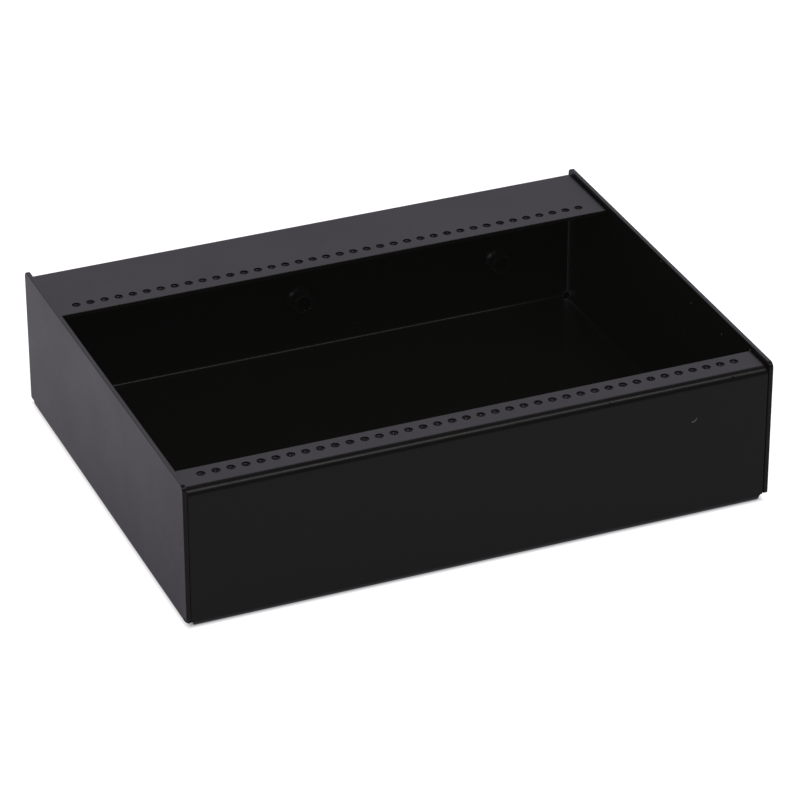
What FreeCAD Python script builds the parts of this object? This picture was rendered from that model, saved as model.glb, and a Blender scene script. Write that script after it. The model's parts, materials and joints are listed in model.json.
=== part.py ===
import FreeCAD
import Part
import os
from FreeCAD import Vector

# Open tray chassis for a row of electronic modules, folded from one sheet of steel.
# Millimetres. X runs along the width, Y from front to back and Z up.
# The origin is the middle of the underside, under the middle of the whole depth.

# ---- sheet and folds ----
sheet = 1.5                 # thickness of the sheet
bend_inside = 1.5           # inside radius of every fold
seam_gap = 0.35             # open seam between a side wall and the wall or flange next to it
relief = 0.8                # square relief notch where two folds meet at a corner of the base

# ---- module row ----
panel_units = 40            # width of the row in pitches
pitch = 5.08                # distance between neighbouring holes
row_spacing = 122.5         # distance between the front and back hole rows
units_without_hole = 2      # a row has this many holes fewer than it has pitches
panel_edge_to_hole = 7.5    # from the left edge of a module panel to its first hole
panel_play_left = 0.4       # between a full row of panels and the left wall
panel_play_right = 1.1      # between a full row of panels and the right wall
tap_drill_radius = 1.25     # wall of a tapped hole

# ---- tray ----
front_face_to_row = 8.6     # outer front face to the front hole row
row_to_back_face = 27.7     # back hole row to the outer back face
front_lip = 4.45            # front hole row to the free edge of the front flange
back_lip = 5.7              # back hole row to the free edge of the back flange
flange_height = 51.4        # underside to the top of the flanges
side_rise = 1.6             # how far the side walls stand above the flanges
side_overhang = 0.1         # how far the side walls stand past the front and back faces
side_top_radius = 2.0       # top corners of the side walls
side_foot_radius = 0.8      # bottom corners of the side walls

# ---- rivet nuts in the back wall ----
nut_spacing = 77.0          # distance between the two rivet nuts
nut_from_right_wall = 29.4  # right wall, inner face, to the right-hand nut
nut_above_floor = 21.5      # inner floor to the nut axis
nut_body_radius = 3.45      # barrel of a rivet nut
nut_hole_clearance = 0.05   # between the barrel and its hole in the wall
nut_head_radius = 4.2       # flat head on the outer face
nut_head_height = 0.5
nut_bulb_radius = 4.9       # collar that the setting tool folds up behind the wall
nut_bulb_length = 2.4
nut_reach = 6.5             # inner face of the wall to the far end of the nut
nut_thread_radius = 2.1     # minor radius of the thread
nut_relief_radius = 2.85    # plain bore between the head and the thread
nut_mouth = 0.6             # chamfer at the far end of the thread

# ---- sizes that follow ----
bend_outside = bend_inside + sheet
panel_width = panel_units * pitch
inner_width = panel_width + panel_play_left + panel_play_right
outer_width = inner_width + 2 * sheet
body_depth = front_face_to_row + row_spacing + row_to_back_face
side_length = body_depth + 2 * side_overhang
behind_back_face = max(side_overhang, nut_head_height)
overall_depth = side_overhang + body_depth + behind_back_face
side_height = flange_height + side_rise
hole_count = panel_units - units_without_hole

outer_x = outer_width / 2
inner_x = outer_x - sheet
wall_end_x = inner_x - seam_gap
base_end_x = outer_x - bend_outside
front_y = side_overhang - overall_depth / 2
back_y = front_y + body_depth
front_row_y = front_y + front_face_to_row
back_row_y = front_row_y + row_spacing
first_hole_x = -inner_x + panel_play_left + panel_edge_to_hole
nut_z = sheet + nut_above_floor
right_nut_x = inner_x - nut_from_right_wall
left_nut_x = right_nut_x - nut_spacing


def line(start, end):
    return Part.LineSegment(start, end).toShape()


def quarter(start, centre, end):
    """Quarter circle from start to end about centre."""
    outward = (start - centre) + (end - centre)
    outward.normalize()
    middle = centre + outward * (start - centre).Length
    return Part.Arc(start, middle, end).toShape()


def folded_solid(outline, folds, along):
    """Sweep a sheet section, given by its outer corners, and fold it round at each inner one."""
    outer = folded_edge(outline, folds, 0.0, bend_outside)
    inner = folded_edge(outline, folds, sheet, bend_inside)
    ends = [line(outer[0].firstVertex().Point, inner[0].firstVertex().Point),
            line(outer[-1].lastVertex().Point, inner[-1].lastVertex().Point)]
    wire = Part.Wire(Part.__sortEdges__(outer + inner + ends))
    return Part.Face(wire).extrude(along)


def folded_edge(outline, folds, inset, radius):
    """One skin of the section: the outline moved inwards by inset, with round folds."""
    corners = [point + turn * inset for point, turn in zip(outline, folds)]
    edges = []
    start = corners[0]
    for index in range(1, len(corners) - 1):
        corner = corners[index]
        before = (corners[index - 1] - corner).normalize() * radius
        after = (corners[index + 1] - corner).normalize() * radius
        edges.append(line(start, corner + before))
        edges.append(quarter(corner + before, corner + before + after, corner + after))
        start = corner + after
    edges.append(line(start, corners[-1]))
    return edges


def front_to_back():
    """Base, front and back walls and both flanges, as one folded section along X."""
    front_edge_y = front_row_y + front_lip
    back_edge_y = back_row_y - back_lip
    outline = [Vector(-wall_end_x, front_edge_y, flange_height),
               Vector(-wall_end_x, front_y, flange_height),
               Vector(-wall_end_x, front_y, 0),
               Vector(-wall_end_x, back_y, 0),
               Vector(-wall_end_x, back_y, flange_height),
               Vector(-wall_end_x, back_edge_y, flange_height)]
    inwards = [Vector(0, 0, -1), Vector(0, 1, -1), Vector(0, 1, 1),
               Vector(0, -1, 1), Vector(0, -1, -1), Vector(0, 0, -1)]
    strip = folded_solid(outline, inwards, Vector(2 * wall_end_x, 0, 0))
    for end_x in (-outer_x, base_end_x):
        corner = Vector(end_x, front_y, 0)
        strip = strip.cut(Part.makeBox(bend_outside, body_depth, bend_outside, corner))
    return strip


def side_fold(side):
    """Fold from the edge of the base up to a side wall, as long as the flat of the base."""
    start_y = front_y + bend_outside
    outline = [Vector(side * (base_end_x - bend_outside), start_y, 0),
               Vector(side * outer_x, start_y, 0),
               Vector(side * outer_x, start_y, side_height / 2)]
    inwards = [Vector(0, 0, 1), Vector(-side, 0, 1), Vector(-side, 0, 0)]
    return folded_solid(outline, inwards, Vector(0, body_depth - 2 * bend_outside, 0))


def side_wall(side):
    """Flat side wall with rounded corners, past the front and back faces by the overhang."""
    low_x = inner_x if side > 0 else -outer_x
    height = side_height - bend_outside
    foot = Vector(low_x, front_y - side_overhang, bend_outside)
    wall = Part.makeBox(sheet, side_length, height, foot)
    corners = [edge for edge in wall.Edges if edge.BoundBox.XLength > sheet / 2]
    middle_z = bend_outside + height / 2
    tops = [edge for edge in corners if edge.CenterOfMass.z > middle_z]
    wall = wall.makeFillet(side_top_radius, tops)
    corners = [edge for edge in wall.Edges if edge.BoundBox.XLength > sheet / 2]
    feet = [edge for edge in corners if edge.BoundBox.ZMax < bend_outside + sheet / 2
            and edge.BoundBox.YLength < sheet / 2]
    return wall.makeFillet(side_foot_radius, feet)


def folded_sheet():
    """The whole blank, folded up, before anything is drilled."""
    body = front_to_back()
    for side in (-1, 1):
        body = body.fuse([side_fold(side), side_wall(side)])
    return body.removeSplitter()


def corner_reliefs():
    """Square notches that keep the sheet from tearing where two folds meet."""
    notches = []
    for x in (-base_end_x, base_end_x):
        for y in (front_y + bend_outside, back_y - bend_outside):
            corner = Vector(x - relief, y - relief, 0)
            notches.append(Part.makeBox(2 * relief, 2 * relief, bend_outside, corner))
    return notches


def module_holes():
    """Both rows of tapped holes, at the size of the tap drill."""
    holes = []
    for row_y in (front_row_y, back_row_y):
        for index in range(hole_count):
            foot = Vector(first_hole_x + index * pitch, row_y, flange_height - sheet)
            holes.append(Part.makeCylinder(tap_drill_radius, sheet, foot))
    return holes


def nut_holes():
    """Holes in the back wall for the rivet nuts."""
    radius = nut_body_radius + nut_hole_clearance
    inner_face_y = back_y - sheet
    return [Part.makeCylinder(radius, sheet, Vector(x, inner_face_y, nut_z), Vector(0, 1, 0))
            for x in (left_nut_x, right_nut_x)]


def make_chassis():
    """The one-piece chassis."""
    return folded_sheet().cut(corner_reliefs() + nut_holes() + module_holes())


def make_rivet_nut(x):
    """Set rivet nut: head outside, barrel in the wall, folded collar and threaded end inside."""
    head_y = back_y + nut_head_height
    wall_y = back_y - sheet
    bulb_y = wall_y - nut_bulb_length
    end_y = wall_y - nut_reach
    section = [(nut_relief_radius, head_y),
               (nut_head_radius, head_y),
               (nut_head_radius, back_y),
               (nut_body_radius, back_y),
               (nut_body_radius, wall_y),
               (nut_bulb_radius, wall_y),
               (nut_bulb_radius, bulb_y),
               (nut_body_radius, bulb_y),
               (nut_body_radius, end_y),
               (nut_thread_radius + nut_mouth, end_y),
               (nut_thread_radius, end_y + nut_mouth),
               (nut_thread_radius, bulb_y),
               (nut_relief_radius, bulb_y)]
    points = [Vector(x + radius, y, nut_z) for radius, y in section]
    face = Part.Face(Part.makePolygon(points + points[:1]))
    return face.revolve(Vector(x, 0, nut_z), Vector(0, 1, 0), 360)


def save(node, shape):
    shape.exportStep("parts/" + node + ".step")
    print(node, "solids", len(shape.Solids), "valid", shape.isValid(), "mm3", round(shape.Volume, 1))


os.makedirs("parts", exist_ok=True)
save("chassis", make_chassis())
save("rivet_nut_left", make_rivet_nut(left_nut_x))
save("rivet_nut_right", make_rivet_nut(right_nut_x))
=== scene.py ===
import json
import math

import bmesh
import bpy
from mathutils import Matrix, Vector


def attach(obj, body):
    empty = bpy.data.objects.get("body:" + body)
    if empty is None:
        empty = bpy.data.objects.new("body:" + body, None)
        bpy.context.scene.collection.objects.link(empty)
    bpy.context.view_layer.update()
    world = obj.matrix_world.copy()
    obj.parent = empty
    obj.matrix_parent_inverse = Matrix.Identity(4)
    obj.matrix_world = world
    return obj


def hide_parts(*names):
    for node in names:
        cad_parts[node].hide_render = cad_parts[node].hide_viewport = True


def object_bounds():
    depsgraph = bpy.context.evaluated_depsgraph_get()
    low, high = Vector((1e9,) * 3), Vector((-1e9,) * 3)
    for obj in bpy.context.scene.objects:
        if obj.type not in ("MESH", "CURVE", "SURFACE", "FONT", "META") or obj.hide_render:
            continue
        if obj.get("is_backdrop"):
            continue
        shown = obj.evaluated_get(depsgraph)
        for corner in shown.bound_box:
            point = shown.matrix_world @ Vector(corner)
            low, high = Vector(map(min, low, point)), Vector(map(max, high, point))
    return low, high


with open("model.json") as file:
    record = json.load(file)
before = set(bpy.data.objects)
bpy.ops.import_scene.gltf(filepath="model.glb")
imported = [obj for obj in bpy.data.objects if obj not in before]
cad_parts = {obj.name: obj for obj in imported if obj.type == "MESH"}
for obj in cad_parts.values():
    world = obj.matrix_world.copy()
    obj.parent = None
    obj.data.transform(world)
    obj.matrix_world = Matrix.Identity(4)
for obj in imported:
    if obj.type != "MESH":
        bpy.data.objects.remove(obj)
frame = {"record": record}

cadLow, cadHigh = [Vector(corner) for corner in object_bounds()]
mounts = {mount["name"]: mount for mount in frame["record"]["mounts"]}
samePlace = 1e-6                   # coordinates closer than this count as equal
weldDistance = 1e-7
quarterTurn = math.radians(90)
print("frame loaded")


def meshObject(name, bm, material, smooth=True):
    mesh = bpy.data.meshes.new(name)
    bm.to_mesh(mesh)
    bm.free()
    mesh.materials.append(material)
    if smooth:
        mesh.shade_smooth()
    piece = bpy.data.objects.new(name, mesh)
    bpy.context.scene.collection.objects.link(piece)
    return piece


def addModifier(piece, kind, **settings):
    modifier = piece.modifiers.new(kind.title(), kind)
    for key, value in settings.items():
        setattr(modifier, key, value)


def bakeModifiers(piece):
    # swaps the mesh for the one its modifiers give, so that nothing stays live
    evaluated = piece.evaluated_get(bpy.context.evaluated_depsgraph_get())
    done = bpy.data.meshes.new_from_object(evaluated)
    piece.modifiers.clear()
    piece.data = done


def nodeTree(name):
    material = bpy.data.materials.new(name)
    material.use_nodes = True
    nodes, links = material.node_tree.nodes, material.node_tree.links
    return material, nodes, links, nodes["Principled BSDF"]


def noise(nodes, links, source, scale, detail=2.0):
    node = nodes.new("ShaderNodeTexNoise")
    node.inputs["Scale"].default_value = scale
    node.inputs["Detail"].default_value = detail
    links.new(source, node.inputs["Vector"])
    return node.outputs["Fac"]


def remap(nodes, links, source, fromLow, fromHigh, toLow, toHigh):
    node = nodes.new("ShaderNodeMapRange")
    for key, value in (("From Min", fromLow), ("From Max", fromHigh),
                       ("To Min", toLow), ("To Max", toHigh)):
        node.inputs[key].default_value = value
    links.new(source, node.inputs["Value"])
    return node.outputs["Result"]


def separate(nodes, links, source):
    node = nodes.new("ShaderNodeSeparateXYZ")
    links.new(source, node.inputs["Vector"])
    return node.outputs


def combiner(nodes, links):
    # gives a function that adds a Math node to this tree; its inputs are numbers or sockets
    def combine(operation, first, second=0):
        node = nodes.new("ShaderNodeMath")
        node.operation = operation
        for socket, value in zip(node.inputs, (first, second)):
            if isinstance(value, (int, float)):
                socket.default_value = value
            else:
                links.new(value, socket)
        return node.outputs[0]
    return combine


def mixColours(nodes, links, factor, first, second):
    mix = nodes.new("ShaderNodeMix")
    mix.data_type = "RGBA"
    for key, value in (("Factor", factor), ("A", first), ("B", second)):
        if isinstance(value, tuple):
            mix.inputs[key].default_value = (*value, 1)
        else:
            links.new(value, mix.inputs[key])
    return mix.outputs["Result"]


# painted glow: a very small emission on the coat and the steel that keeps shadows off pure black
paintedGlow = {"colour": (1.0, 1.05, 0.94), "coat": 0.0022, "steel": 0.0021}
cloudSpan = (0.3, 0.7)             # the part of the noise's range that roughness is spread over
powderCoat = {
    "colour": (0.0031, 0.0034, 0.0028),
    "dustColour": (0.030, 0.030, 0.031),
    "specular": 0.13,
    "roughness": (0.25, 0.31),     # lowest and highest over the surface
    "peelSize": 0.0016,            # orange peel, crest to crest
    "peelHeight": 0.000004,
    "grainSize": 0.00022,
    "grainHeight": 0.0000012,
    "cloudSize": 0.030,
    "cloudDetail": 3.0,
    "dustSize": 0.0011,
    "dustEdge": (0.06, 0.16),      # where a speck starts and stops fading, in its own size
    "dustAmount": 0.06,
}


# gives a surface a faint painted glow, though it is no lamp
def addPaintedGlow(shader, strength):
    shader.inputs["Emission Color"].default_value = (*paintedGlow["colour"], 1)
    shader.inputs["Emission Strength"].default_value = strength


def makePowderCoat(name, look):
    material, nodes, links, shader = nodeTree(name)
    place = nodes.new("ShaderNodeTexCoord").outputs["Object"]
    shader.inputs["Specular IOR Level"].default_value = look["specular"]
    addPaintedGlow(shader, paintedGlow["coat"])
    cloud = noise(nodes, links, place, 1 / look["cloudSize"], look["cloudDetail"])
    roughness = remap(nodes, links, cloud, *cloudSpan, *look["roughness"])
    links.new(roughness, shader.inputs["Roughness"])

    # fine dust: rare small specks that are a little paler than the coat
    speck = nodes.new("ShaderNodeTexVoronoi")
    speck.inputs["Scale"].default_value = 1 / look["dustSize"]
    links.new(place, speck.inputs["Vector"])
    near = remap(nodes, links, speck.outputs["Distance"], *look["dustEdge"], 1.0, 0.0)
    rare = remap(nodes, links, speck.outputs["Color"], 1 - look["dustAmount"], 1.0, 0.0, 1.0)
    dust = combiner(nodes, links)("MULTIPLY", near, rare)
    dusty = mixColours(nodes, links, dust, look["colour"], look["dustColour"])
    links.new(dusty, shader.inputs["Base Color"])

    # orange peel with a finer grain on top
    peel = nodes.new("ShaderNodeBump")
    peel.inputs["Distance"].default_value = look["peelHeight"]
    links.new(noise(nodes, links, place, 1 / look["peelSize"]), peel.inputs["Height"])
    grain = nodes.new("ShaderNodeBump")
    grain.inputs["Distance"].default_value = look["grainHeight"]
    links.new(noise(nodes, links, place, 1 / look["grainSize"]), grain.inputs["Height"])
    links.new(peel.outputs["Normal"], grain.inputs["Normal"])
    links.new(grain.outputs["Normal"], shader.inputs["Normal"])
    return material


threadSteel = {"colour": (0.005, 0.005, 0.005), "specular": 0.50,
               "roughness": (0.16, 0.24), "cloudSize": 0.0006}
# painted shade: a finish with no gloss, darker than the nut, for faces that should read as shade
boreShade = {"colour": (0.0025, 0.0027, 0.0024), "specular": 0.0,
             "roughness": (0.55, 0.65), "cloudSize": 0.0015}
nutSteel = {"colour": (0.010, 0.010, 0.010), "specular": 0.28,
            "roughness": (0.22, 0.30), "cloudSize": 0.0015}
markGrey = {"colour": (0.13, 0.13, 0.135), "specular": 0.20,
            "roughness": (0.35, 0.55), "cloudSize": 0.0008}


def makeSteel(name, look):
    material, nodes, links, shader = nodeTree(name)
    place = nodes.new("ShaderNodeTexCoord").outputs["Object"]
    shader.inputs["Base Color"].default_value = (*look["colour"], 1)
    shader.inputs["Specular IOR Level"].default_value = look["specular"]
    addPaintedGlow(shader, paintedGlow["steel"])
    cloud = noise(nodes, links, place, 1 / look["cloudSize"])
    roughness = remap(nodes, links, cloud, *cloudSpan, *look["roughness"])
    links.new(roughness, shader.inputs["Roughness"])
    return material


blackCoat = makePowderCoat("blackPowderCoat", powderCoat)
cutThread = makeSteel("cutThread", threadSteel)
blackNut = makeSteel("blackNut", nutSteel)
paintedShadeFinish = makeSteel("paintedShadeFinish", boreShade)
paleMarkAndGlint = makeSteel("paleMarkAndGlint", markGrey)
print("finishes made")


sheetMetal = {
    "thickness": 0.0015,
    "bendRadius": 0.0030,          # outside of the fold
    "bendSteps": 10,
    "sideOverhang": 0.0001,        # side walls past the front and back faces
    "seamGap": 0.00035,            # between a side wall and its neighbours
    "leftSeamCloser": 0.0002,      # how much narrower the left seams are
    "frontLip": 0.00445,           # hole row to the free edge of the front flange
    "backLip": 0.0057,
    "topCorner": 0.0020,           # rounded corners of the side walls
    "footCorner": 0.0008,
    "cornerSteps": 5,
    "relief": 0.0008,              # half the side of each square corner relief
    "edgeSoftness": 0.00022,       # the coat rounds every cut edge
    "edgeSteps": 3,
    "edgeAngle": 50,               # folds flatter than this, in degrees, are left as they are
    "sharpAngle": 40,              # edges past this, in degrees, shade as sharp
    "nutHoleRadius": 0.0035, "nutHoleSteps": 48,
}
tapping = {
    "majorRadius": 0.0015,
    "minorRadius": 0.00123,
    "holeSteps": 32,
    "threadPitch": 0.0005,
    "plainMouth": 0.0002,          # depth that has no thread
    "rootScale": 1.02,             # sinks the ridge's root into the wall of the hole
    "turnsShort": 0.9,             # turns left out, so that the ridge stays inside
    "firstTurn": 0.45,             # where the ridge starts, in pitches
    "stepsPerTurn": 16,
}
rivetNut = {
    "headRadius": 0.0042, "headHeight": 0.0005,
    "bodyRadius": 0.00345,
    "bulbRadius": 0.0049, "bulbLength": 0.0024,
    "bulbSoftness": 0.0009, "bulbSteps": 6,
    "reach": 0.0065,               # past the inner face of the wall
    "boreRadius": 0.00285, "threadRadius": 0.0025, "crestRadius": 0.0021,
    "mouth": 0.0004,
    "rimSoftness": 0.00018, "rimSteps": 3,
    "threadPitch": 0.0008, "rootScale": 1.01, "turnsShort": 1, "firstTurn": 0.45,
    "stepsPerTurn": 28,
    "steps": 56,
    "boreFacing": -0.3,            # faces that look at the axis at least this much are the bore
    "sharpAngle": 35,
}
ridgeShape = {"rootHalf": 0.42, "crestHalf": 0.06}     # of a thread, in pitches

grid = mounts["panel_40_units"]
rowLength = grid["dims"]["spacing_x_mm"] / 1000
rowSpacing = grid["dims"]["spacing_y_mm"] / 1000
holesInRow = 38
holePitch = rowLength / (holesInRow - 1)
flangeTop = grid["pos_m"][2]
frontFace = cadLow.y + sheetMetal["sideOverhang"]
backFace = cadHigh.y - rivetNut["headHeight"]
middleY = (frontFace + backFace) / 2
frontRow = grid["pos_m"][1] - rowSpacing / 2
backRow = grid["pos_m"][1] + rowSpacing / 2
firstHole = grid["pos_m"][0] - rowLength / 2
holeCentres = [Vector((firstHole + i * holePitch, row, flangeTop))
               for row in (frontRow, backRow) for i in range(holesInRow)]


def openEdgesAt(bm, axis, value):
    # boundary edges that lie in the plane where one coordinate has this value
    return [edge for edge in bm.edges if edge.is_boundary
            and all(abs(vert.co[axis] - value) < samePlace for vert in edge.verts)]


def foldUp(bm, edges, pivot, axis, steps):
    spun = bmesh.ops.spin(bm, geom=edges, cent=pivot, axis=axis, dvec=(0, 0, 0),
                          angle=quarterTurn, steps=steps, use_merge=False, use_duplicate=False)
    return [e for e in spun["geom_last"] if isinstance(e, bmesh.types.BMEdge)]


def runOn(bm, edges, step):
    # carries the sheet on from these edges, and gives the new free edges
    made = bmesh.ops.extrude_edge_only(bm, edges=edges)["geom"]
    verts = [v for v in made if isinstance(v, bmesh.types.BMVert)]
    bmesh.ops.translate(bm, vec=step, verts=verts)
    return [e for e in made if isinstance(e, bmesh.types.BMEdge) and e.is_boundary
            and all(v in verts for v in e.verts)]


def widen(bm, edges, axis, reach):
    # lengthens the top of a fold at both ends, past its relief
    ends = {}
    for edge in edges:
        for vert in edge.verts:
            ends[vert] = ends.get(vert, 0) + 1
    tips = [vert for vert, count in ends.items() if count == 1]
    longer = list(edges)
    for tip in tips:
        made = bmesh.ops.extrude_vert_indiv(bm, verts=[tip])
        made["verts"][0].co[axis] = math.copysign(reach, tip.co[axis])
        longer += made["edges"]
    return longer


def chassisSkin():
    # the outer face of the sheet: base, front and back with their flanges, then the sides
    s = sheetMetal
    radius = s["bendRadius"]
    outerX = cadHigh.x
    outerY = (backFace - frontFace) / 2
    sideEnd = outerY + s["sideOverhang"]
    wallEnd = outerX - s["thickness"] - s["seamGap"]
    flatX, flatY = outerX - radius, outerY - radius
    bm = bmesh.new()
    bmesh.ops.create_grid(bm, x_segments=1, y_segments=1, size=1)
    bmesh.ops.scale(bm, vec=(flatX, flatY, 1), verts=bm.verts)

    for end, lipY in ((-1, frontRow + s["frontLip"]), (1, backRow - s["backLip"])):
        y, axis = end * flatY, (end, 0, 0)
        low = foldUp(bm, openEdgesAt(bm, 1, y), (0, y, radius), axis, s["bendSteps"])
        low = widen(bm, low, 0, wallEnd)
        high = runOn(bm, low, (0, 0, flangeTop - 2 * radius))
        high = foldUp(bm, high, (0, y, flangeTop - radius), axis, s["bendSteps"])
        runOn(bm, high, (0, lipY - middleY - y, 0))

    for side in (-1, 1):
        base = [e for e in openEdgesAt(bm, 0, side * flatX)
                if all(abs(v.co.z) < samePlace for v in e.verts)]
        low = foldUp(bm, base, (side * flatX, 0, radius), (0, -side, 0), s["bendSteps"])
        low = widen(bm, low, 1, sideEnd)
        runOn(bm, low, (0, 0, cadHigh.z - radius))
    corners = [v for v in bm.verts if abs(abs(v.co.y) - sideEnd) < samePlace]
    tops = [v for v in corners if v.co.z > cadHigh.z / 2]
    feet = [v for v in corners if v.co.z < cadHigh.z / 2]
    for verts, size in ((tops, s["topCorner"]), (feet, s["footCorner"])):
        bmesh.ops.bevel(bm, geom=verts, offset=size, offset_type="OFFSET", affect="VERTICES",
                        segments=s["cornerSteps"], profile=0.5, material=-1)
    bmesh.ops.remove_doubles(bm, verts=bm.verts, dist=weldDistance)
    leftEnds = [vert for vert in bm.verts if abs(vert.co.x + wallEnd) < samePlace]
    bmesh.ops.translate(bm, vec=(-s["leftSeamCloser"], 0, 0), verts=leftEnds)
    bmesh.ops.translate(bm, vec=(0, middleY, 0), verts=bm.verts)
    bmesh.ops.recalc_face_normals(bm, faces=bm.faces)
    base = min(bm.faces, key=lambda face: face.calc_center_median().z)
    if base.normal.z > 0:
        bmesh.ops.reverse_faces(bm, faces=bm.faces)
    return bm


def addCutter(bm, radius, length, place, steps):
    bmesh.ops.create_cone(bm, cap_ends=True, segments=steps, radius1=radius, radius2=radius,
                          depth=length, matrix=place)


def holeCutters():
    s, t = sheetMetal, tapping
    throughFlange, throughWall = 4 * s["thickness"], 3 * s["thickness"]
    bm = bmesh.new()
    for centre in holeCentres:
        addCutter(bm, t["majorRadius"], throughFlange, Matrix.Translation(centre), t["holeSteps"])
    faceOut = Matrix.Rotation(quarterTurn, 4, "X")
    wallY = backFace - s["thickness"] / 2
    for name in ("back_nut_left", "back_nut_right"):
        x, _, z = mounts[name]["pos_m"]
        place = Matrix.Translation((x, wallY, z)) @ faceOut
        addCutter(bm, s["nutHoleRadius"], throughWall, place, s["nutHoleSteps"])
    flatX = cadHigh.x - s["bendRadius"]
    side = 2 * s["relief"]
    reliefShape = Matrix.Diagonal((side, side, 2 * s["bendRadius"], 1))
    for x in (-flatX, flatX):
        for y in (frontFace + s["bendRadius"], backFace - s["bendRadius"]):
            bmesh.ops.create_cube(bm, size=1, matrix=Matrix.Translation((x, y, 0)) @ reliefShape)
    return meshObject("cutters", bm, blackCoat)


def makeChassis():
    s = sheetMetal
    chassis = meshObject("foldedChassis", chassisSkin(), blackCoat)
    addModifier(chassis, "SOLIDIFY", thickness=s["thickness"], offset=-1, use_even_offset=True)
    addModifier(chassis, "BEVEL", width=s["edgeSoftness"], segments=s["edgeSteps"],
                limit_method="ANGLE", angle_limit=math.radians(s["edgeAngle"]),
                miter_outer="MITER_ARC")
    bakeModifiers(chassis)
    cutters = holeCutters()
    addModifier(chassis, "BOOLEAN", operation="DIFFERENCE", object=cutters, solver="EXACT")
    bakeModifiers(chassis)
    bpy.data.objects.remove(cutters)
    chassis.data.set_sharp_from_angle(angle=math.radians(s["sharpAngle"]))
    addModifier(chassis, "WEIGHTED_NORMAL", keep_sharp=True, weight=50)
    bakeModifiers(chassis)
    return chassis


chassis = makeChassis()
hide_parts("chassis")
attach(chassis, "root")
print("chassis folded:", len(chassis.data.polygons), "faces")


def threadCoil(rootRadius, crestRadius, turns, thread):
    # one ridge of a thread that climbs +Z from the origin, closed at both ends
    bm = bmesh.new()
    pitch = thread["threadPitch"]
    rootHalf, crestHalf = ridgeShape["rootHalf"] * pitch, ridgeShape["crestHalf"] * pitch
    section = [bm.verts.new((rootRadius, 0, rootHalf)), bm.verts.new((crestRadius, 0, crestHalf)),
               bm.verts.new((crestRadius, 0, -crestHalf)), bm.verts.new((rootRadius, 0, -rootHalf))]
    start = bm.faces.new(section)
    steps = round(turns * thread["stepsPerTurn"])
    bmesh.ops.spin(bm, geom=[start] + list(start.edges) + section, cent=(0, 0, 0), axis=(0, 0, 1),
                   dvec=(0, 0, pitch * turns / steps), angle=2 * math.pi * turns, steps=steps,
                   use_merge=False, use_duplicate=False)
    bmesh.ops.recalc_face_normals(bm, faces=bm.faces)
    coil = bpy.data.meshes.new("coil")
    bm.to_mesh(coil)
    bm.free()
    return coil


def copyInto(bm, mesh, place):
    placed = mesh.copy()
    placed.transform(place)
    bm.from_mesh(placed)
    bpy.data.meshes.remove(placed)


def makeThreads():
    t = tapping
    depth = sheetMetal["thickness"] - t["plainMouth"]
    turns = depth / t["threadPitch"] - t["turnsShort"]
    coil = threadCoil(t["majorRadius"] * t["rootScale"], t["minorRadius"], turns, t)
    bm = bmesh.new()
    foot = Vector((0, 0, -sheetMetal["thickness"] + t["firstTurn"] * t["threadPitch"]))
    for centre in holeCentres:
        copyInto(bm, coil, Matrix.Translation(centre + foot))
    return meshObject("tappedThreads", bm, cutThread)


threads = makeThreads()
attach(threads, "root")
print("threads cut:", len(threads.data.polygons), "faces")


def ringEdges(bm, radius, at):
    # edges of the ring with this radius round the Y axis, at this place along it
    return [e for e in bm.edges if all(abs(math.hypot(v.co.x, v.co.z) - radius) < samePlace
                                       and abs(v.co.y - at) < samePlace for v in e.verts)]


def softenRings(bm, edges, size, steps):
    bmesh.ops.bevel(bm, geom=edges, offset=size, offset_type="OFFSET", affect="EDGES",
                    segments=steps, profile=0.5, material=-1)


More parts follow.
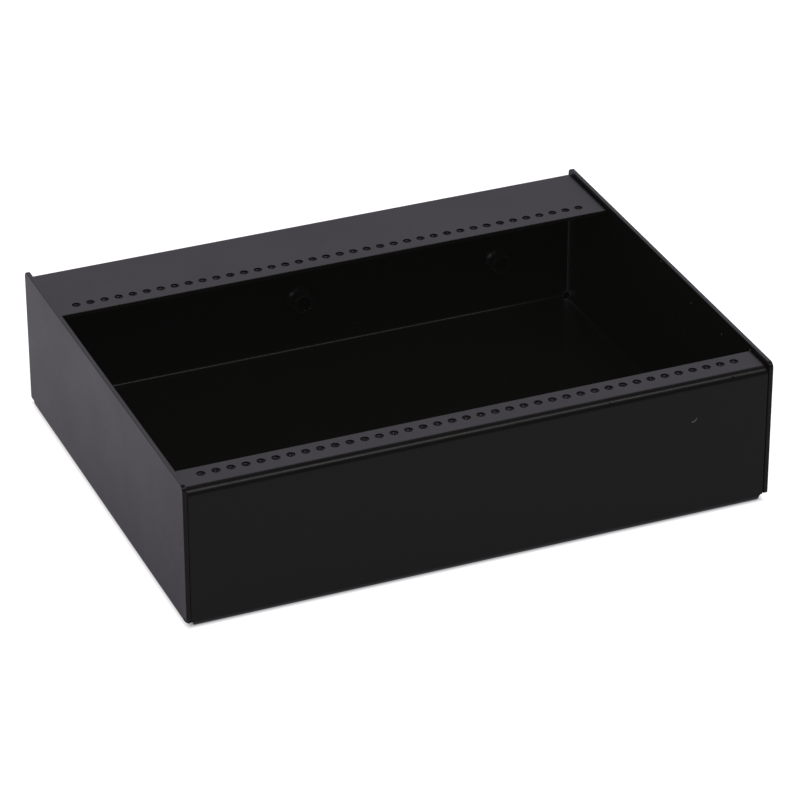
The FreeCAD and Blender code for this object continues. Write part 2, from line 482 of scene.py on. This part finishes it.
def makeRivetNut(name, mount):
    n = rivetNut
    x, _, z = mounts[mount]["pos_m"]
    wallY = backFace - sheetMetal["thickness"]
    headY, bulbY, endY = backFace + n["headHeight"], wallY - n["bulbLength"], wallY - n["reach"]
    bulbMiddle = (wallY + bulbY) / 2
    section = [(n["boreRadius"], headY), (n["headRadius"], headY), (n["headRadius"], backFace),
               (n["bodyRadius"], backFace), (n["bodyRadius"], wallY),
               ((n["bodyRadius"] + n["bulbRadius"]) / 2, wallY),
               (n["bulbRadius"], bulbMiddle), (n["bodyRadius"], bulbY),
               (n["bodyRadius"], endY), (n["threadRadius"] + n["mouth"], endY),
               (n["threadRadius"], endY + n["mouth"]), (n["threadRadius"], bulbY),
               (n["boreRadius"], bulbY)]
    bm = bmesh.new()
    verts = [bm.verts.new((radius, at, 0)) for radius, at in section]
    rim = [bm.edges.new(pair) for pair in zip(verts, verts[1:] + verts[:1])]
    bmesh.ops.spin(bm, geom=rim + verts, cent=(0, 0, 0), axis=(0, 1, 0), dvec=(0, 0, 0),
                   angle=2 * math.pi, steps=n["steps"], use_merge=True, use_duplicate=False)
    bmesh.ops.remove_doubles(bm, verts=bm.verts, dist=weldDistance)
    bmesh.ops.recalc_face_normals(bm, faces=bm.faces)
    softenRings(bm, ringEdges(bm, n["bulbRadius"], bulbMiddle), n["bulbSoftness"], n["bulbSteps"])
    rims = ringEdges(bm, n["bodyRadius"], endY) + ringEdges(bm, n["headRadius"], headY)
    rims += ringEdges(bm, n["threadRadius"] + n["mouth"], endY)
    softenRings(bm, rims, n["rimSoftness"], n["rimSteps"])

    turns = (bulbY - endY - n["mouth"]) / n["threadPitch"] - n["turnsShort"]
    coil = threadCoil(n["threadRadius"] * n["rootScale"], n["crestRadius"], turns, n)
    lie = Matrix.Rotation(-quarterTurn, 4, "X")
    foot = endY + n["mouth"] + n["firstTurn"] * n["threadPitch"]
    copyInto(bm, coil, Matrix.Translation((0, foot, 0)) @ lie)
    bmesh.ops.translate(bm, vec=(x, 0, z), verts=bm.verts)
    nut = meshObject(name, bm, blackNut)
    # the faces of the bore get the painted shade finish, so the bore reads dark
    nut.data.materials.append(paintedShadeFinish)
    axis = Vector((x, 0, z))
    for face in nut.data.polygons:
        outwards = Vector((face.center.x, 0, face.center.z)) - axis
        if (outwards.length > samePlace
                and outwards.normalized().dot(face.normal) < n["boreFacing"]):
            face.material_index = 1
    nut.data.set_sharp_from_angle(angle=math.radians(n["sharpAngle"]))
    return nut


for pieceName, node, mount in (("rivetNutLeft", "rivet_nut_left", "back_nut_left"),
                               ("rivetNutRight", "rivet_nut_right", "back_nut_right")):
    nut = makeRivetNut(pieceName, mount)
    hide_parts(node)
    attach(nut, "root")
print("rivet nuts set")


# where the coat is marked, and where glints and shade are painted on it, as places on the faces of
# the part
wearAndPaintedLight = {
    "scratchTop": (0.07620, 0.03817), "scratchElbow": (0.07525, 0.03705),
    "scratchTail": (0.07399, 0.03701),
    "scratchWidth": 0.00050, "scratchLift": 0.00006,
    "tipTaper": 5,                 # how many times finer a stroke is at its tip
    "tailShare": 0.8,              # width of the tail at the elbow, next to the other stroke's
    "specksRightWall": ((-0.0446, 0.0463, 0.00028), (-0.0654, 0.0509, 0.00036),
                        (-0.0213, 0.0470, 0.00026), (0.0025, 0.0517, 0.00022)),
    "specksBackWall": ((0.0181, 0.0078, 0.00016), (-0.0005, 0.0341, 0.00016)),
    # painted glints: two pale beads on the rim of the left nut's end stand in for glints of light
    "paintedGlintsNutEnd": ((0.0024, -0.0020, 0.00024), (0.00035, -0.0026, 0.00018)),
    "speckFlatness": 0.25, "speckTallness": 1.3,
    "nicks": ((0.0892, 49, 0.00060), (0.0445, 46, 0.00032)),   # along the fold, down it, how long
    "nickNarrowness": 0.5, "nickLift": 0.00004,
}


def addStroke(bm, start, end, startWidth, endWidth, y):
    along = (Vector(end) - Vector(start)).normalized()
    across = Vector((-along.y, along.x))
    corners = [Vector(start) + across * startWidth / 2, Vector(start) - across * startWidth / 2,
               Vector(end) - across * endWidth / 2, Vector(end) + across * endWidth / 2]
    bm.faces.new([bm.verts.new((x, y, z)) for x, z in corners])


def addBead(bm, radius, place, subdivisions=1):
    bmesh.ops.create_icosphere(bm, subdivisions=subdivisions, radius=radius, matrix=place)


def makePaleMarksAndGlints():
    w = wearAndPaintedLight
    bm = bmesh.new()
    face = frontFace - w["scratchLift"] / 2
    wide, fine = w["scratchWidth"], w["scratchWidth"] / w["tipTaper"]
    addStroke(bm, w["scratchTop"], w["scratchElbow"], fine, wide, face)
    addStroke(bm, w["scratchTail"], w["scratchElbow"], fine, wide * w["tailShare"], face)
    bmesh.ops.recalc_face_normals(bm, faces=bm.faces)
    bmesh.ops.solidify(bm, geom=bm.faces, thickness=w["scratchLift"])
    bmesh.ops.recalc_face_normals(bm, faces=bm.faces)

    innerX = cadHigh.x - sheetMetal["thickness"]
    innerY = backFace - sheetMetal["thickness"]
    nutEnd = innerY - rivetNut["reach"]
    nutX, _, nutZ = mounts["back_nut_left"]["pos_m"]
    onSide = Matrix.Diagonal((w["speckFlatness"], 1, w["speckTallness"], 1))
    onBack = Matrix.Diagonal((1, w["speckFlatness"], 1, 1))
    for y, z, size in w["specksRightWall"]:
        addBead(bm, size, Matrix.Translation((innerX, y, z)) @ onSide)
    for x, z, size in w["specksBackWall"]:
        addBead(bm, size, Matrix.Translation((x, innerY, z)) @ onBack)
    # pale beads for the painted glints on the nut's rim
    for x, z, size in w["paintedGlintsNutEnd"]:
        addBead(bm, size, Matrix.Translation((nutX + x, nutEnd, nutZ + z)))
    return meshObject("paleMarksAndGlints", bm, paleMarkAndGlint)


# real nicks in the front fold, each a flat bead in the painted shade finish: painted shade where
# they break the fold's highlight
def makeNicks():
    w = wearAndPaintedLight
    radius = sheetMetal["bendRadius"]
    bm = bmesh.new()
    for x, down, size in w["nicks"]:
        lean = math.radians(down)
        y = frontFace + radius * (1 - math.sin(lean))
        z = flangeTop - radius * (1 - math.cos(lean))
        turn = Matrix.Rotation(lean, 4, "X")
        shape = Matrix.Diagonal((1, w["nickNarrowness"], w["nickLift"] / size, 1))
        addBead(bm, size, Matrix.Translation((x, y, z)) @ turn @ shape, 2)
    return meshObject("nicksPaintedDark", bm, paintedShadeFinish)


for marks in (makePaleMarksAndGlints(), makeNicks()):
    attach(marks, "root")
print("wear added")


studio = {
    "floorSize": 3.0, "floorDrop": 0.0001,
    "floorColour": (0.56, 0.522, 0.583), "floorRoughness": 0.9,
    "floorSeen": 0.84, "floorMirrored": 0.34,      # light added where the floor is looked at
    # painted shadow on the floor under and just behind the part
    "contactInset": 0.004, "contactBehind": 0.002, # where the floor turns dark under the part
    "contactShade": 0.007,                         # how much of its colour is left there
    # painted shadow: a dark patch on the floor beside the rear right relief
    "reliefSpot": (0.1055, 0.0800),                # dark floor beside the rear right relief
    "reliefSpotSize": (0.0065, 0.0060), "reliefSpotBlur": 0.001,
    "spotSteepest": 0.6,                           # sine of the steepest look that shows it
    "leftOfPart": -0.104,                          # left of here the mirrored floor has a falloff
    "leftRise": (-0.05, 0.05, 0.62, 1.0),          # from and to along Y, weakest and strongest
    "leftFall": (0.09, 0.14, 1.0, 0.72),
    # painted shadow that only reflections of the floor show, behind the part
    "mirrorBehind": 0.085, "mirrorShade": 0.6,     # darker mirrored floor behind the part
    "mirroredTint": (1.0, 0.935, 1.10),            # faint cast of the room in what the coat mirrors
    "worldLight": 0.50,
    "horizon": 0.68, "glow": 2.12,                 # mirrored walls brighten upwards
    "glowHeights": (0.41, 0.52),
    "ceiling": 0.08, "ceilingHeights": (0.60, 0.80),
    "front": 0.07, "frontDepths": (-0.35, 0.15),   # the front is dark, but not far on the left
    "frontSides": (-0.35, -0.60),
    "keyPower": 12.0, "keySize": (1.4, 0.42),
    "keyPlace": (0.30, -0.98, 1.45), "keyAim": (0, 0, 0.03),
}


def lookedAt(nodes, links):
    # two switches: one for a straight look, one for a look by way of a mirror or through glass
    path = nodes.new("ShaderNodeLightPath")
    mirrored = combiner(nodes, links)("MAXIMUM", path.outputs["Is Glossy Ray"],
                                      path.outputs["Is Transmission Ray"])
    return path.outputs["Is Camera Ray"], mirrored


def mirroredTint(nodes, links, mirrored):
    return mixColours(nodes, links, mirrored, (1, 1, 1), studio["mirroredTint"])


def clearOfRelief(nodes, links, spot):
    # 0 beside the rear right relief, where a shadow is painted, when it is looked at from low in
    # front and on the left
    combine = combiner(nodes, links)
    offSpot = []
    for axis, centre, size in zip("XY", studio["reliefSpot"], studio["reliefSpotSize"]):
        away = combine("ABSOLUTE", combine("SUBTRACT", spot[axis], centre))
        offSpot.append(combine("SUBTRACT", away, size))
    clear = remap(nodes, links, combine("MAXIMUM", *offSpot), 0, studio["reliefSpotBlur"], 0, 1)
    eye = separate(nodes, links, nodes.new("ShaderNodeNewGeometry").outputs["Incoming"])
    fromBehind = combine("GREATER_THAN", eye["Y"], 0)
    fromRight = combine("GREATER_THAN", eye["X"], 0)
    fromAbove = combine("GREATER_THAN", eye["Z"], studio["spotSteepest"])
    elsewhere = combine("MAXIMUM", combine("MAXIMUM", fromBehind, fromRight), fromAbove)
    return combine("MAXIMUM", clear, elsewhere)


def clearOfPart(nodes, links, reach):
    # 0 under the part and as far behind it as the reach, 1 on the open floor: the mask of a painted
    # shadow
    combine = combiner(nodes, links)
    spot = separate(nodes, links, nodes.new("ShaderNodeTexCoord").outputs["Object"])
    pastSides = combine("SUBTRACT", combine("ABSOLUTE", spot["X"]), cadHigh.x)
    pastBack = combine("SUBTRACT", spot["Y"], cadHigh.y + reach)
    pastFront = combine("SUBTRACT", cadLow.y, spot["Y"])
    past = combine("MAXIMUM", pastSides, combine("MAXIMUM", pastBack, pastFront))
    clear = remap(nodes, links, past, -studio["contactInset"], 0, 0, 1)
    return combine("MINIMUM", clear, clearOfRelief(nodes, links, spot))


def sideFalloff(nodes, links):
    # the floor on the left is mirrored weaker towards the front and far behind
    combine = combiner(nodes, links)
    spot = separate(nodes, links, nodes.new("ShaderNodeTexCoord").outputs["Object"])
    rise = remap(nodes, links, spot["Y"], *studio["leftRise"])
    fall = remap(nodes, links, spot["Y"], *studio["leftFall"])
    elsewhere = combine("GREATER_THAN", spot["X"], studio["leftOfPart"])
    return combine("MAXIMUM", combine("MULTIPLY", rise, fall), elsewhere)


def makeFloor():
    # white to look at, with a painted shadow where the part stands, and weaker in what the coat
    # mirrors
    bm = bmesh.new()
    bmesh.ops.create_grid(bm, x_segments=1, y_segments=1, size=studio["floorSize"])
    bmesh.ops.translate(bm, vec=(0, 0, cadLow.z - studio["floorDrop"]), verts=bm.verts)
    material, nodes, links, shader = nodeTree("floorPaper")
    combine = combiner(nodes, links)
    shader.inputs["Roughness"].default_value = studio["floorRoughness"]
    shader.inputs["Specular IOR Level"].default_value = 0.0
    clear = clearOfPart(nodes, links, studio["contactBehind"])
    paper = nodes.new("ShaderNodeCombineColor")
    for socket, full in zip(paper.inputs, studio["floorColour"]):
        links.new(remap(nodes, links, clear, 0, 1, full * studio["contactShade"], full), socket)

    straight, mirrored = lookedAt(nodes, links)
    clearInMirror = clearOfPart(nodes, links, studio["mirrorBehind"])
    hidden = combine("MULTIPLY", mirrored, combine("SUBTRACT", 1, clearInMirror))
    shade = combine("MULTIPLY", hidden, studio["mirrorShade"])
    shaded = mixColours(nodes, links, shade, paper.outputs["Color"], (0, 0, 0))
    links.new(shaded, shader.inputs["Base Color"])
    seen = combine("MULTIPLY", combine("MULTIPLY", straight, studio["floorSeen"]), clear)
    glint = combine("MULTIPLY", combine("MULTIPLY", mirrored, studio["floorMirrored"]),
                    combine("MULTIPLY", clearInMirror, sideFalloff(nodes, links)))
    links.new(combine("ADD", seen, glint), shader.inputs["Emission Strength"])
    links.new(mirroredTint(nodes, links, mirrored), shader.inputs["Emission Color"])
    meshObject("floor", bm, material, smooth=False)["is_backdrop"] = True


def makeWorld():
    # white to look at; mirrored, its walls glow upwards and its ceiling and front are dark
    world = bpy.data.worlds.new("studioWorld")
    bpy.context.scene.world = world
    world.use_nodes = True
    nodes, links = world.node_tree.nodes, world.node_tree.links
    combine = combiner(nodes, links)
    way = separate(nodes, links, nodes.new("ShaderNodeTexCoord").outputs["Generated"])
    glow = remap(nodes, links, way["Z"], *studio["glowHeights"], studio["horizon"], studio["glow"])
    ceiling = remap(nodes, links, way["Z"], *studio["ceilingHeights"], 1, studio["ceiling"])
    front = remap(nodes, links, way["Y"], *studio["frontDepths"], studio["front"], 1)
    left = remap(nodes, links, way["X"], *studio["frontSides"], 0, 1)
    walls = combine("MULTIPLY", ceiling, combine("MAXIMUM", front, left))
    room = combine("MULTIPLY", glow, walls)
    straight, mirrored = lookedAt(nodes, links)
    other = combine("SUBTRACT", 1, combine("MAXIMUM", straight, mirrored))
    light = combine("ADD", straight, combine("MULTIPLY", mirrored, room))
    light = combine("ADD", light, combine("MULTIPLY", other, studio["worldLight"]))
    links.new(light, nodes["Background"].inputs["Strength"])
    links.new(mirroredTint(nodes, links, mirrored), nodes["Background"].inputs["Color"])


def addSoftbox(name, place, aim, size, power):
    light = bpy.data.lights.new(name, "AREA")
    light.shape = "RECTANGLE"
    light.size, light.size_y = size
    light.energy = power
    lamp = bpy.data.objects.new(name, light)
    place = Vector(place)
    turn = (Vector(aim) - place).to_track_quat("-Z", "Y")
    lamp.matrix_world = Matrix.Translation(place) @ turn.to_matrix().to_4x4()
    bpy.context.scene.collection.objects.link(lamp)


cameraStand = {
    "azimuth": 22.574, "elevation": 29.483, "roll": -0.155,
    "distance": 1.3844, "lens": 182.93, "clip": (0.01, 20),
    "aim": (0.00167, -0.00374, 0.02184),
}


def makeCamera():
    c = cameraStand
    azimuth, elevation = math.radians(c["azimuth"]), math.radians(c["elevation"])
    level = math.cos(elevation)
    view = Vector((math.sin(azimuth) * level, math.cos(azimuth) * level, -math.sin(elevation)))
    right = view.cross(Vector((0, 0, 1))).normalized()
    up = right.cross(view)
    roll = Matrix.Rotation(math.radians(-c["roll"]), 3, view)
    right, up = roll @ right, roll @ up
    data = bpy.data.cameras.new("camera")
    data.lens = c["lens"]
    data.clip_start, data.clip_end = c["clip"]
    camera = bpy.data.objects.new("camera", data)
    place = Vector(c["aim"]) - view * c["distance"]
    axes = Matrix((right, up, -view)).transposed().to_4x4()
    camera.matrix_world = Matrix.Translation(place) @ axes
    bpy.context.scene.collection.objects.link(camera)
    bpy.context.scene.camera = camera


makeFloor()
makeWorld()
addSoftbox("frontSoftbox", studio["keyPlace"], studio["keyAim"], studio["keySize"],
           studio["keyPower"])
makeCamera()
bpy.context.scene.view_settings.view_transform = "Standard"
print("studio set")

low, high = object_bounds()
{"cad": [list(cadLow), list(cadHigh)], "visual": [list(low), list(high)]}
